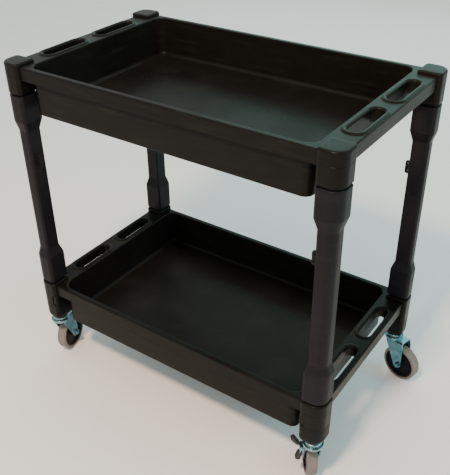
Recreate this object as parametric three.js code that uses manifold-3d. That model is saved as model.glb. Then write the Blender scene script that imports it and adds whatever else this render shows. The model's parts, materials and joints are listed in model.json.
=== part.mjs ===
// Rolling utility cart: two deep moulded tub trays held apart by four hollow legs, on four stem
// casters. Millimetres, +Z up. The origin is on the floor under the middle of the cart, +X runs
// along its length and +Y across its width.

import * as THREE from 'three';
import { mergeVertices } from 'three/addons/utils/BufferGeometryUtils.js';
import Module from 'manifold-3d';

const wasm = await Module();
wasm.setup();

// ---- Driving dimensions ----
const LENGTH = 793.75;
const WIDTH = 469.9;
const HEIGHT = 800.1;
const TRAY_PITCH = 557;
const GAP = 0.3;
// How far a cutter runs past the face it opens
const OVERCUT = 5;
const ARC_STEPS = 4;
const PLUG_ARC_STEPS = 2;
const ROD_SIDES = 12;
const LATHE_SIDES = 14;

// Corner blocks of the trays, which the legs and the feet plug into
const BLOCK = { side: 52, height: 66, rise: 7, round: 26, roundSide: 9, roundInner: 4 };
const SOCKET = { half: 20.5, lowerDepth: 37, footDepth: 21 };
const CORNER_X = LENGTH / 2 - BLOCK.side / 2;
const CORNER_Y = WIDTH / 2 - BLOCK.side / 2;

// Rim and tub of a tray
const RIM = { insetX: 9, insetY: 9, height: 28.4, skin: 4, round: 30, collarLift: 3 };
const MOUTH = { halfX: 332, halfY: 212, round: 24 };
const TUB = { wall: 4, depth: 90, draftX: 8, draftY: 3, round: 14, cove: 8, coveInset: 7 };
const HANDLE = { x: 361, y: 81, length: 116, width: 27, collar: 4 };

// Legs
const LEG = { collarHalf: 25.2, shaftHalf: 18.6, spigotHalf: 20.2, boreHalf: 14.5, neck: 5 };
const LEG_COLLAR = { top: 60, topTaper: 23, bottom: 71, bottomTaper: 22 };
const TAB = { z: 575, height: 30, reach: 13, thick: 5, hole: 1.8, holeOut: 7.8, holePitch: 16 };

// Feet and casters, measured from the swivel axis
const FOOT = { bottom: 130, half: 25.6, bevel: 5, bevelHeight: 8, overlap: 4 };
const WHEEL = { radius: 46, width: 24, sides: 28, treadThick: 7, shoulder: 2.5, trail: 32 };
const CORE = { bore: 6.4, hub: 12, webIn: 14, webOut: 31, rimIn: 33, web: 8, hubGap: 1.6 };
const FORK = { inner: 15.2, plate: 2.5, crownZ: 110.5, crownRadius: 22.5, crownBore: 5.6, crownLip: 4.5 };
const FORK_SIDE = { noseX: -8, noseDrop: 9, tailX: 2, tailDrop: 13, tipRadius: 9, lean: 0.5, bridge: 42 };
const STEM = { radius: 5.5, top: 168, boreGap: 0.4, boreRoom: 3, point: 2 };
const STEM_CAP = { radius: 19, z: 121.5, edge: 4, slope: 7 };
const STEM_HEAD = { radius: 8.5, height: 4, round: 2 };
const BEARING = { bore: 6.6, rim: 16, belly: 17.5 };
const AXLE = { radius: 4, hex: 6.6, headLength: 5, nutLength: 6, beyond: 0.5 };
const BUSH = { bore: 4.5, radius: 6, gap: 0.4 };

// Brakes, with their tips as [y, z] from the pivot
const BRAKE = { x: 12, y: 22.5, z: 92, width: 12, plate: 2.5, pin: 2.5, hub: 4.4, tongueWidth: 7 };
const EAR = { thick: 2.5, size: 11, gap: 0.4, reach: 4.5 };
const TONGUE_WINDOW = { width: 9, height: 13, drop: 5.5 };
const PEDAL = { grow: 2, beyond: 2 };
const UPPER_PEDAL = { tip: [20, 28], thick: 9, reach: 22 };
const LOWER_PEDAL = { tip: [7, -34], thick: 10.5, reach: 19 };
const TONGUE_TIP = [-8.2, -9];

// Heading in degrees of each caster's trail at rest, and whether it has a brake lever
const CASTERS = [
  { corner: 'front_left', sx: -1, sy: -1, heading: 103.5, braked: false },
  { corner: 'front_right', sx: 1, sy: -1, heading: 126, braked: true },
  { corner: 'back_right', sx: 1, sy: 1, heading: -14, braked: false },
  { corner: 'back_left', sx: -1, sy: 1, heading: 194, braked: true },
];

const TOP_BOSS_Z = HEIGHT;
const LOW_BOSS_Z = HEIGHT - TRAY_PITCH;
const FORK_OUTER = FORK.inner + FORK.plate;

// ---- Materials ----
function paint(color, roughness, metalness) {
  return new THREE.MeshStandardMaterial({ color, roughness, metalness });
}

const MATERIALS = {
  tray: paint(0x2b2a27, 0.42, 0),
  leg: paint(0x2c2a2e, 0.45, 0),
  foot: paint(0x262725, 0.5, 0),
  zinc: paint(0xb9bfbd, 0.3, 0.9),
  tread: paint(0x8f8a80, 0.7, 0),
  core: paint(0x1c1d22, 0.5, 0),
  bush: paint(0x8d8f8c, 0.4, 0.8),
  pedal: paint(0x17181a, 0.7, 0),
};

// ---- Solid helpers ----
function toSolid(geometry) {
  const bare = geometry.clone();
  bare.deleteAttribute('normal');
  bare.deleteAttribute('uv');
  const merged = mergeVertices(bare, 1e-4);
  const mesh = new wasm.Mesh({
    numProp: 3,
    vertProperties: new Float32Array(merged.attributes.position.array),
    triVerts: new Uint32Array(merged.index.array),
  });
  return new wasm.Manifold(mesh);
}

function toGeometry(solid) {
  const mesh = solid.getMesh();
  const geometry = new THREE.BufferGeometry();
  geometry.setAttribute('position', new THREE.BufferAttribute(new Float32Array(mesh.vertProperties), 3));
  geometry.setIndex(new THREE.BufferAttribute(new Uint32Array(mesh.triVerts), 1));
  geometry.computeVertexNormals();
  return geometry;
}

function join(...solids) {
  return solids.reduce((whole, next) => whole.add(next));
}

function cut(solid, ...cutters) {
  return cutters.reduce((left, next) => left.subtract(next), solid);
}

function box(sizeX, sizeY, sizeZ, x, y, z) {
  const geometry = new THREE.BoxGeometry(sizeX, sizeY, sizeZ);
  geometry.translate(x, y, z);
  return toSolid(geometry);
}

// A cylinder whose axis is X, Y or Z
function rod(radius, length, axis, centre, sides = ROD_SIDES) {
  const geometry = new THREE.CylinderGeometry(radius, radius, length, sides);
  if (axis === 'x') geometry.rotateZ(-Math.PI / 2);
  if (axis === 'z') geometry.rotateX(Math.PI / 2);
  geometry.translate(...centre);
  return toSolid(geometry);
}

// Turns a closed [radius, height] outline about the Z axis
function turned(outline, sides) {
  const points = outline.map(([radius, height]) => new THREE.Vector2(radius, height));
  const geometry = new THREE.LatheGeometry(points, sides);
  geometry.rotateX(Math.PI / 2);
  return geometry;
}

// Corners of a rectangle, each rounded by its own radius, anticlockwise from the +X +Y corner
function roundedOutline(halfX, halfY, radii, steps = ARC_STEPS) {
  const corners = [[1, 1], [-1, 1], [-1, -1], [1, -1]];
  const outline = [];
  corners.forEach(([sx, sy], index) => {
    const radius = radii[index];
    for (let step = 0; step <= steps; step += 1) {
      const angle = ((index + step / steps) * Math.PI) / 2;
      const x = sx * (halfX - radius) + radius * Math.cos(angle);
      const y = sy * (halfY - radius) + radius * Math.sin(angle);
      outline.push(new THREE.Vector2(x, y));
    }
  });
  return outline;
}

// The square outline of a corner block or leg: its widest round faces out of the cart
function cornerOutline(half, sx, sy, steps = ARC_STEPS) {
  const scale = half / (BLOCK.side / 2);
  const signs = [[1, 1], [-1, 1], [-1, -1], [1, -1]];
  const radii = signs.map(([cx, cy]) => {
    if (cx === sx && cy === sy) return BLOCK.round * scale;
    if (cx === -sx && cy === -sy) return BLOCK.roundInner * scale;
    return BLOCK.roundSide * scale;
  });
  return roundedOutline(half, half, radii, steps);
}

// The same shape with fewer sides, for sockets, spigots and bores
function plugOutline(half, sx, sy) {
  return cornerOutline(half, sx, sy, PLUG_ARC_STEPS);
}

// Joins outlines that have equally many points, from the lowest level to the highest
function loft(levels) {
  const count = levels[0].outline.length;
  const positions = [];
  const indices = [];
  levels.forEach(({ outline, z }) => outline.forEach((point) => positions.push(point.x, point.y, z)));
  for (let level = 0; level < levels.length - 1; level += 1) {
    for (let i = 0; i < count; i += 1) {
      const a = level * count + i;
      const b = level * count + ((i + 1) % count);
      indices.push(a, b, b + count, a, b + count, a + count);
    }
  }
  const last = (levels.length - 1) * count;
  THREE.ShapeUtils.triangulateShape(levels[0].outline, []).forEach(([a, b, c]) => indices.push(a, c, b));
  THREE.ShapeUtils.triangulateShape(levels[levels.length - 1].outline, [])
    .forEach(([a, b, c]) => indices.push(last + a, last + b, last + c));
  const geometry = new THREE.BufferGeometry();
  geometry.setAttribute('position', new THREE.Float32BufferAttribute(positions, 3));
  geometry.setIndex(indices);
  return toSolid(geometry);
}

function prism(outline, bottom, top) {
  return loft([{ outline, z: bottom }, { outline, z: top }]);
}

function shifted(outline, x, y) {
  return outline.map((point) => new THREE.Vector2(point.x + x, point.y + y));
}

// Extrudes a [y, z] outline along X about the middle x
function sideProfile(points, x, width) {
  const shape = new THREE.Shape(points.map(([y, z]) => new THREE.Vector2(y, z)));
  const geometry = new THREE.ExtrudeGeometry(shape, { depth: width, bevelEnabled: false });
  geometry.applyMatrix4(new THREE.Matrix4().makeBasis(
    new THREE.Vector3(0, 1, 0), new THREE.Vector3(0, 0, 1), new THREE.Vector3(1, 0, 0)));
  geometry.translate(x - width / 2, 0, 0);
  return toSolid(geometry);
}

function part(name, geometry, material) {
  const mesh = new THREE.Mesh(geometry, material);
  mesh.name = name;
  return mesh;
}

// ---- Trays ----
function tubLevel(grow, below, inset) {
  const share = Math.min(below / TUB.depth, 1);
  const halfX = MOUTH.halfX - TUB.draftX * share - inset + grow;
  const halfY = MOUTH.halfY - TUB.draftY * share - inset + grow;
  const round = MOUTH.round - (MOUTH.round - TUB.round) * share - inset + grow;
  return roundedOutline(halfX, halfY, [round, round, round, round]);
}

function tubSolid(rimTop, grow, topZ, depth) {
  return loft([
    { outline: tubLevel(grow, depth, TUB.coveInset), z: rimTop - depth },
    { outline: tubLevel(grow, depth - TUB.cove, 0), z: rimTop - depth + TUB.cove },
    { outline: tubLevel(grow, 0, 0), z: topZ },
  ]);
}

function handleOutline(grow) {
  const halfX = HANDLE.width / 2 + grow;
  const halfY = HANDLE.length / 2 + grow;
  const round = halfX - 0.01;
  return roundedOutline(halfX, halfY, [round, round, round, round]);
}

function forEachHandle(make) {
  const solids = [];
  for (const sx of [-1, 1]) {
    for (const sy of [-1, 1]) solids.push(make(sx * HANDLE.x, sy * HANDLE.y));
  }
  return solids;
}

function makeTray(bossZ, hasUpperSockets) {
  const rimTop = bossZ - BLOCK.rise;
  const rimBottom = rimTop - RIM.height;
  const halfX = LENGTH / 2 - RIM.insetX;
  const halfY = WIDTH / 2 - RIM.insetY;
  const rounds = (grow) => Array(4).fill(RIM.round + grow);
  const rimPlate = prism(roundedOutline(halfX, halfY, rounds(0)), rimBottom, rimTop);
  const skirtInside = roundedOutline(halfX - RIM.skin, halfY - RIM.skin, rounds(-RIM.skin));
  const underside = prism(skirtInside, rimBottom - OVERCUT, rimTop - RIM.skin);
  const tubOuter = tubSolid(rimTop, TUB.wall, rimTop - RIM.skin / 2, TUB.depth + TUB.wall);
  const collars = forEachHandle((x, y) => prism(
    shifted(handleOutline(HANDLE.collar), x, y), rimBottom + RIM.collarLift, rimTop - RIM.skin / 2));
  const blocks = [];
  const sockets = [];
  for (const { sx, sy } of CASTERS) {
    const x = sx * CORNER_X;
    const y = sy * CORNER_Y;
    const blockBottom = bossZ - BLOCK.height;
    const outline = shifted(cornerOutline(BLOCK.side / 2, sx, sy), x, y);
    blocks.push(prism(outline, blockBottom, bossZ));
    const lowerDepth = hasUpperSockets ? SOCKET.footDepth : SOCKET.lowerDepth;
    const socket = shifted(plugOutline(SOCKET.half, sx, sy), x, y);
    sockets.push(prism(socket, blockBottom - OVERCUT, blockBottom + lowerDepth));
    if (hasUpperSockets) sockets.push(prism(socket, bossZ - SOCKET.lowerDepth, bossZ + OVERCUT));
  }
  const tubInner = tubSolid(rimTop, 0, rimTop + OVERCUT, TUB.depth);
  const slots = forEachHandle((x, y) => prism(
    shifted(handleOutline(0), x, y), rimBottom - OVERCUT, rimTop + OVERCUT));
  const body = join(cut(rimPlate, underside), tubOuter, ...collars, ...blocks);
  return toGeometry(cut(body, tubInner, ...slots, ...sockets));
}

// ---- Legs and feet ----
function makeLeg(sx, sy) {
  const collarTop = TOP_BOSS_Z - BLOCK.height - LEG.neck;
  const collarBottom = LOW_BOSS_Z + LEG.neck;
  const spigotTop = TOP_BOSS_Z - BLOCK.height + SOCKET.lowerDepth - GAP;
  const spigotBottom = LOW_BOSS_Z - SOCKET.lowerDepth + GAP;
  const level = (half, z) => ({ outline: cornerOutline(half, sx, sy), z });
  const shell = loft([
    level(LEG.collarHalf, collarBottom),
    level(LEG.collarHalf, collarBottom + LEG_COLLAR.bottom),
    level(LEG.shaftHalf, collarBottom + LEG_COLLAR.bottom + LEG_COLLAR.bottomTaper),
    level(LEG.shaftHalf, collarTop - LEG_COLLAR.top - LEG_COLLAR.topTaper),
    level(LEG.collarHalf, collarTop - LEG_COLLAR.top),
    level(LEG.collarHalf, collarTop),
  ]);
  const spigot = prism(plugOutline(LEG.spigotHalf, sx, sy), spigotBottom, spigotTop);
  // Only the spigot's ends are kept, so it doesn't fill the shaft between the collars
  const between = collarTop - collarBottom - 2 * FOOT.overlap;
  const ends = cut(spigot, box(BLOCK.side, BLOCK.side, between, 0, 0, (collarTop + collarBottom) / 2));
  const tabX = -sx * (LEG.shaftHalf + (TAB.reach - LEG.neck) / 2);
  const tab = box(TAB.reach + LEG.neck, TAB.thick, TAB.height, tabX, 0, TAB.z);
  const holeX = -sx * (LEG.shaftHalf + TAB.holeOut);
  const holes = [-0.5, 0.5].map((side) => rod(
    TAB.hole, TAB.thick * 2, 'y', [holeX, 0, TAB.z + side * TAB.holePitch], 8));
  const bore = prism(plugOutline(LEG.boreHalf, sx, sy), spigotBottom - OVERCUT, spigotTop + OVERCUT);
  return toGeometry(cut(join(shell, ends, tab), bore, ...holes));
}

function makeFoot(sx, sy) {
  const shoulder = LOW_BOSS_Z - BLOCK.height - GAP;
  const outer = (inset) => cornerOutline(FOOT.half - inset, sx, sy);
  const shell = loft([
    { outline: outer(FOOT.bevel), z: FOOT.bottom },
    { outline: outer(0), z: FOOT.bottom + FOOT.bevelHeight },
    { outline: outer(0), z: shoulder },
  ]);
  const plugTop = shoulder + SOCKET.footDepth - GAP;
  const plug = prism(plugOutline(LEG.spigotHalf, sx, sy), shoulder - FOOT.overlap, plugTop);
  const boreTop = STEM.top + STEM.boreRoom;
  const boreBottom = FOOT.bottom - OVERCUT;
  const boreMiddle = [0, 0, (boreTop + boreBottom) / 2];
  const bore = rod(STEM.radius + STEM.boreGap, boreTop - boreBottom, 'z', boreMiddle);
  return toGeometry(cut(join(shell, plug), bore));
}

// ---- Casters: +X is the trail, Y the axle ----
function makeStem() {
  const headBottom = FORK.crownZ - STEM_HEAD.height;
  const headTop = FORK.crownZ - GAP;
  const rivet = FORK.crownBore - GAP;
  const shoulder = FOOT.bottom - GAP;
  return turned([
    [0, headBottom], [STEM_HEAD.radius - STEM_HEAD.round, headBottom],
    [STEM_HEAD.radius, headBottom + STEM_HEAD.round], [STEM_HEAD.radius, headTop], [rivet, headTop],
    [rivet, STEM_CAP.z], [STEM_CAP.radius, STEM_CAP.z], [STEM_CAP.radius, STEM_CAP.z + STEM_CAP.edge],
    [STEM_CAP.radius - STEM_CAP.slope, shoulder], [STEM.radius, shoulder],
    [STEM.radius, STEM.top - STEM.point], [STEM.radius - STEM.point / 2, STEM.top], [0, STEM.top],
  ], LATHE_SIDES);
}

function makeBearing() {
  const bottom = FORK.crownZ + FORK.plate + GAP;
  const top = STEM_CAP.z - GAP;
  return turned([
    [BEARING.bore, bottom], [BEARING.rim, bottom], [BEARING.belly, (bottom + top) / 2], [BEARING.rim, top],
    [BEARING.bore, top], [BEARING.bore, bottom],
  ], LATHE_SIDES);
}

function forkPlate(y) {
  const { trail, radius } = WHEEL;
  const { noseX, noseDrop, tailX, tailDrop, tipRadius, lean } = FORK_SIDE;
  const top = FORK.crownZ + FORK.plate;
  const shape = new THREE.Shape();
  shape.moveTo(noseX, top);
  shape.lineTo(noseX, top - noseDrop);
  shape.lineTo(trail - tipRadius * Math.cos(lean), radius - tipRadius * Math.sin(lean));
  shape.absarc(trail, radius, tipRadius, Math.PI + lean, 2 * Math.PI, false);
  shape.lineTo(trail + tipRadius, top - tailDrop);
  shape.lineTo(trail + tailX, top);
  shape.closePath();
  const settings = { depth: FORK.plate, bevelEnabled: false, curveSegments: 8 };
  const geometry = new THREE.ExtrudeGeometry(shape, settings);
  geometry.rotateX(Math.PI / 2);
  geometry.translate(0, y, 0);
  return toSolid(geometry);
}

function makeFork(braked) {
  const { crownZ, crownRadius, crownBore, crownLip, plate } = FORK;
  const top = crownZ + plate;
  const dish = toSolid(turned([
    [0, crownZ], [crownRadius, crownZ], [crownRadius, top + crownLip],
    [crownRadius - plate, top + crownLip], [crownRadius - plate, top], [0, top],
  ], LATHE_SIDES + 2));
  const bridgeX = FORK_SIDE.noseX + FORK_SIDE.bridge / 2;
  const bridge = box(FORK_SIDE.bridge, 2 * FORK_OUTER, plate, bridgeX, 0, crownZ + plate / 2);
  const ears = [];
  const openings = [
    rod(crownBore, 4 * OVERCUT, 'z', [0, 0, crownZ]),
    rod(AXLE.radius + GAP, 3 * FORK_OUTER, 'y', [WHEEL.trail, 0, WHEEL.radius]),
  ];
  if (braked) {
    const { thick, size, gap, reach } = EAR;
    const { width, height, drop } = TONGUE_WINDOW;
    const earX = (BRAKE.width + thick) / 2 + gap;
    for (const side of [-1, 1]) {
      ears.push(box(thick, size, size, BRAKE.x + side * earX, FORK_OUTER + reach, BRAKE.z));
    }
    openings.push(rod(BRAKE.pin + GAP / 2, 3 * BRAKE.width, 'x', [BRAKE.x, BRAKE.y, BRAKE.z]));
    openings.push(box(width, 3 * plate, height, BRAKE.x, FORK_OUTER - plate / 2, BRAKE.z - drop));
  }
  const legs = [forkPlate(FORK_OUTER), forkPlate(-FORK.inner)];
  return toGeometry(cut(join(dish, bridge, ...legs, ...ears), ...openings));
}

function makeAxleBolt() {
  const headEnd = FORK_OUTER + AXLE.headLength / 2;
  const nutEnd = FORK_OUTER + AXLE.nutLength + AXLE.beyond;
  const shaft = rod(AXLE.radius, headEnd + nutEnd, 'y', [0, (headEnd - nutEnd) / 2, 0]);
  const head = rod(AXLE.hex, AXLE.headLength, 'y', [0, FORK_OUTER + GAP + AXLE.headLength / 2, 0], 6);
  return toGeometry(join(shaft, head));
}

function makeAxleNut() {
  const nut = rod(AXLE.hex, AXLE.nutLength, 'y', [0, -FORK_OUTER - GAP - AXLE.nutLength / 2, 0], 6);
  return toGeometry(cut(nut, rod(AXLE.radius + GAP / 2, 2 * FORK_OUTER, 'y', [0, -FORK_OUTER, 0])));
}

function makeBush() {
  const half = FORK.inner - BUSH.gap;
  const { bore, radius } = BUSH;
  return turned([
    [bore, -half], [radius, -half], [radius, half], [bore, half], [bore, -half],
  ], ROD_SIDES).rotateX(Math.PI / 2);
}

function makeWheelCore() {
  const rim = WHEEL.radius - WHEEL.treadThick - GAP;
  const half = WHEEL.width / 2 - 1;
  const hubEnd = FORK.inner - CORE.hubGap;
  const { bore, hub, webIn, webOut, rimIn, web } = CORE;
  return turned([
    [bore, -hubEnd], [hub, -hubEnd], [webIn, -web], [webOut, -web], [rimIn, -half], [rim, -half],
    [rim, half], [rimIn, half], [webOut, web], [webIn, web], [hub, hubEnd], [bore, hubEnd], [bore, -hubEnd],
  ], LATHE_SIDES + 2).rotateX(Math.PI / 2);
}

// The tread's sides are flats, so the wheel stands on one of them
function makeTread() {
  const vertexRadius = WHEEL.radius / Math.cos(Math.PI / WHEEL.sides);
  const half = WHEEL.width / 2;
  const inner = WHEEL.radius - WHEEL.treadThick + GAP / 2;
  const edge = half - WHEEL.shoulder;
  const geometry = turned([
    [inner, -half], [vertexRadius - WHEEL.shoulder, -half], [vertexRadius, -edge], [vertexRadius, edge],
    [vertexRadius - WHEEL.shoulder, half], [inner, half], [inner, -half],
  ], WHEEL.sides);
  geometry.rotateX(Math.PI / 2);
  geometry.rotateY(Math.PI / WHEEL.sides);
  return geometry;
}

// ---- Brake lever ----
function barOutline([endY, endZ], thick, from, to) {
  const length = Math.hypot(endY, endZ);
  const along = [endY / length, endZ / length];
  const across = [-along[1] * thick / 2, along[0] * thick / 2];
  const corner = (distance, side) => [
    BRAKE.y + along[0] * distance + across[0] * side, BRAKE.z + along[1] * distance + across[1] * side,
  ];
  return [corner(from, -1), corner(to, -1), corner(to, 1), corner(from, 1)];
}

function leverBar(tip, width, thick = BRAKE.plate, from = 0, beyond = 0) {
  return sideProfile(barOutline(tip, thick, from, Math.hypot(...tip) + beyond), BRAKE.x, width);
}

function makeBrakeLever() {
  const centre = [BRAKE.x, BRAKE.y, BRAKE.z];
  const hub = rod(BRAKE.hub, BRAKE.width, 'x', centre);
  const tongue = leverBar(TONGUE_TIP, BRAKE.tongueWidth);
  const bars = [leverBar(UPPER_PEDAL.tip, BRAKE.width), leverBar(LOWER_PEDAL.tip, BRAKE.width), tongue];
  return toGeometry(cut(join(hub, ...bars), rod(BRAKE.pin + GAP / 2, 2 * BRAKE.width, 'x', centre)));
}

function makeBrakePin() {
  const length = BRAKE.width + 2 * (EAR.thick + EAR.gap) + 2;
  return toGeometry(rod(BRAKE.pin, length, 'x', [BRAKE.x, BRAKE.y, BRAKE.z]));
}

// A slip-on pedal cover: a thick sleeve over the end of one bar of the lever
function makePedal({ tip, thick, reach }) {
  const start = Math.hypot(...tip) - reach;
  const sleeve = leverBar(tip, BRAKE.width + PEDAL.grow, thick, start, PEDAL.beyond);
  const pocketWidth = BRAKE.width + 2 * GAP;
  const pocket = leverBar(tip, pocketWidth, BRAKE.plate + 2 * GAP, start - PEDAL.beyond, GAP);
  return toGeometry(cut(sleeve, pocket));
}

function makeCaster({ corner, sx, sy, heading, braked }) {
  const caster = new THREE.Group();
  caster.position.set(sx * CORNER_X, sy * CORNER_Y, 0);
  caster.rotation.z = THREE.MathUtils.degToRad(heading);
  const named = (piece) => `${piece}_${corner}`;
  const wheel = new THREE.Group();
  wheel.position.set(WHEEL.trail, 0, WHEEL.radius);
  wheel.add(
    part(named('axle_bolt'), makeAxleBolt(), MATERIALS.zinc),
    part(named('axle_nut'), makeAxleNut(), MATERIALS.zinc),
    part(named('hub_bush'), makeBush(), MATERIALS.bush),
    part(named('wheel_core'), makeWheelCore(), MATERIALS.core),
    part(named('tread'), makeTread(), MATERIALS.tread),
  );
  caster.add(
    part(named('caster_stem'), makeStem(), MATERIALS.zinc),
    part(named('swivel_bearing'), makeBearing(), MATERIALS.zinc),
    part(named('fork'), makeFork(braked), MATERIALS.zinc),
    wheel,
  );
  if (braked) {
    caster.add(
      part(named('brake_lever'), makeBrakeLever(), MATERIALS.zinc),
      part(named('brake_pin'), makeBrakePin(), MATERIALS.zinc),
      part(named('brake_pedal_upper'), makePedal(UPPER_PEDAL), MATERIALS.pedal),
      part(named('brake_pedal_lower'), makePedal(LOWER_PEDAL), MATERIALS.pedal),
    );
  }
  return caster;
}

// ---- Assembly ----
function makeCart() {
  const cart = new THREE.Group();
  cart.add(
    part('top_tray', makeTray(TOP_BOSS_Z, false), MATERIALS.tray),
    part('bottom_tray', makeTray(LOW_BOSS_Z, true), MATERIALS.tray),
  );
  for (const caster of CASTERS) {
    const leg = part(`leg_${caster.corner}`, makeLeg(caster.sx, caster.sy), MATERIALS.leg);
    const foot = part(`foot_${caster.corner}`, makeFoot(caster.sx, caster.sy), MATERIALS.foot);
    leg.position.set(caster.sx * CORNER_X, caster.sy * CORNER_Y, 0);
    foot.position.set(caster.sx * CORNER_X, caster.sy * CORNER_Y, 0);
    cart.add(leg, foot, makeCaster(caster));
  }
  return cart;
}

const cart = makeCart();
export default cart;
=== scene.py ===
"""The looks of a rolling utility cart: moulded tub trays, hollow legs, feet and braked stem casters."""
import json
import math

import bmesh
import bpy
from mathutils import Matrix, Vector

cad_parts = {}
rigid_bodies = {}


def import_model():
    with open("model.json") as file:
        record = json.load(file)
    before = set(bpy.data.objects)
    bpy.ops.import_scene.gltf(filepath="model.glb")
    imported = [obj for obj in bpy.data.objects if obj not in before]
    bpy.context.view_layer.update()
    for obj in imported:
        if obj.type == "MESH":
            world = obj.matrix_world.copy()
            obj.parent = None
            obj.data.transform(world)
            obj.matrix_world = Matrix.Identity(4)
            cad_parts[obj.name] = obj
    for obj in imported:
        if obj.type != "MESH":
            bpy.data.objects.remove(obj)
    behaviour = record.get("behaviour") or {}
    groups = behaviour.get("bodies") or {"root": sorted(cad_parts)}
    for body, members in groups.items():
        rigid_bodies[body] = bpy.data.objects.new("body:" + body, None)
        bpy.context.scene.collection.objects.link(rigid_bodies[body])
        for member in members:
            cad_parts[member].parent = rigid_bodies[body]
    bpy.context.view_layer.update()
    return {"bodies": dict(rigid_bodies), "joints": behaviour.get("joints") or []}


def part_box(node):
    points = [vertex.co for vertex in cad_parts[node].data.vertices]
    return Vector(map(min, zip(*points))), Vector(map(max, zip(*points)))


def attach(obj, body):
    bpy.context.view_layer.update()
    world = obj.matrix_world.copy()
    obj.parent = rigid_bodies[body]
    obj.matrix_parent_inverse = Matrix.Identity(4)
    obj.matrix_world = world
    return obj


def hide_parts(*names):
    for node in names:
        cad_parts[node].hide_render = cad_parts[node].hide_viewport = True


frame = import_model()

MM = 0.001
ROOT = "root"
CORNERS = ("front_left", "front_right", "back_right", "back_left")


# ---------------------------------------------------------------- camera, light and floor
CAMERA = {
    "place": (0.8138, -1.1556, 1.2965),
    "azimuth": 34.96,
    "elevation": 32.89,
    "roll": -0.72,
    "lens": 54.5,
    "rise": -0.001,
}
# Point over the floor that every light faces
LIGHT_TARGET = (0, 0, 0.4)
STUDIO_SIZE = 16


def aim(azimuth, elevation, roll):
    """Turn of a camera that looks down the given azimuth and elevation."""
    a, e = math.radians(azimuth), math.radians(elevation)
    back = Vector((math.sin(a) * math.cos(e), -math.cos(a) * math.cos(e), math.sin(e)))
    right = Vector((math.cos(a), math.sin(a), 0))
    up = back.cross(right)
    turn = Matrix((right, up, back)).transposed().to_4x4()
    return turn @ Matrix.Rotation(math.radians(roll), 4, "Z")


def add_camera():
    data = bpy.data.cameras.new("camera")
    data.lens = CAMERA["lens"]
    data.sensor_width = 36
    data.shift_y = CAMERA["rise"]
    data.clip_end = 50
    camera = bpy.data.objects.new("camera", data)
    camera.matrix_world = (Matrix.Translation(CAMERA["place"])
                           @ aim(CAMERA["azimuth"], CAMERA["elevation"], CAMERA["roll"]))
    bpy.context.scene.collection.objects.link(camera)
    bpy.context.scene.camera = camera


def add_soft_light(name, place, size, power, colour):
    data = bpy.data.lights.new(name, "AREA")
    data.shape = "RECTANGLE"
    data.size, data.size_y = size
    data.energy = power
    data.color = colour
    light = bpy.data.objects.new(name, data)
    turn = (Vector(place) - Vector(LIGHT_TARGET)).to_track_quat("Z", "Y").to_matrix().to_4x4()
    light.matrix_world = Matrix.Translation(place) @ turn
    bpy.context.scene.collection.objects.link(light)


def add_studio():
    world = bpy.data.worlds.new("pale studio")
    world.use_nodes = True
    sky = world.node_tree.nodes["Background"]
    sky.inputs["Color"].default_value = (0.9, 1.0, 0.98, 1)
    sky.inputs["Strength"].default_value = 0.9
    bpy.context.scene.world = world
    add_soft_light("key", (0.3, -1.7, 2.9), (0.32, 0.32), 95, (1.0, 0.74, 0.54))
    add_soft_light("side", (2.6, 0.9, 2.2), (1.4, 1.2), 20, (0.03, 0.8, 0.88))
    add_soft_light("back", (-0.4, 3.0, 1.8), (3.0, 1.8), 22, (0.36, 1.0, 0.86))

    bpy.ops.mesh.primitive_plane_add(size=STUDIO_SIZE, location=(0, 0, 0))
    floor = bpy.context.object
    floor.name = "floor"
    material, _, _, shader = new_finish("pale floor")
    shader.inputs["Base Color"].default_value = (0.96, 0.9, 0.89, 1)
    shader.inputs["Roughness"].default_value = 0.85
    floor.data.materials.append(material)


# ---------------------------------------------------------------- node helpers
def new_finish(name):
    material = bpy.data.materials.new(name)
    material.use_nodes = True
    tree = material.node_tree
    return material, tree.nodes, tree.links, tree.nodes["Principled BSDF"]


def add_node(nodes, kind, **values):
    """Adds a node. A value goes to an attribute of that name, or else to the input of that name."""
    node = nodes.new(kind)
    for key, value in values.items():
        if hasattr(node, key):
            setattr(node, key, value)
        else:
            node.inputs[key.replace("_", " ")].default_value = value
    return node


def object_place(nodes, links, stretch=(1, 1, 1)):
    """Object coordinates, stretched along the axes."""
    place = nodes.new("ShaderNodeTexCoord")
    mapping = add_node(nodes, "ShaderNodeMapping", Scale=stretch)
    links.new(place.outputs["Object"], mapping.inputs["Vector"])
    return mapping.outputs["Vector"]


def noise(nodes, links, place, scale, detail=4.0, roughness=0.55):
    texture = add_node(nodes, "ShaderNodeTexNoise", Scale=scale, Detail=detail, Roughness=roughness)
    links.new(place, texture.inputs["Vector"])
    return texture.outputs["Fac"]


def spread(nodes, links, value, low, high, from_low=0.3, from_high=0.7):
    """Maps a texture's middle range onto low..high, held at both ends."""
    node = nodes.new("ShaderNodeMapRange")
    links.new(value, node.inputs["Value"])
    for key, number in (("From Min", from_low), ("From Max", from_high), ("To Min", low), ("To Max", high)):
        node.inputs[key].default_value = number
    return node.outputs["Result"]


def blend_colours(nodes, links, factor, first, second):
    node = add_node(nodes, "ShaderNodeMix", data_type="RGBA")
    links.new(factor, node.inputs["Factor"])
    colours = [socket for socket in node.inputs if socket.type == "RGBA"]
    for socket, colour in zip(colours, (first, second)):
        if isinstance(colour, tuple):
            socket.default_value = (*colour, 1)
        else:
            links.new(colour, socket)
    return [socket for socket in node.outputs if socket.type == "RGBA"][0]


def bump(nodes, links, height, distance, strength, under=None):
    node = add_node(nodes, "ShaderNodeBump", Strength=strength, Distance=distance)
    links.new(height, node.inputs["Height"])
    if under is not None:
        links.new(under, node.inputs["Normal"])
    return node.outputs["Normal"]


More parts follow.
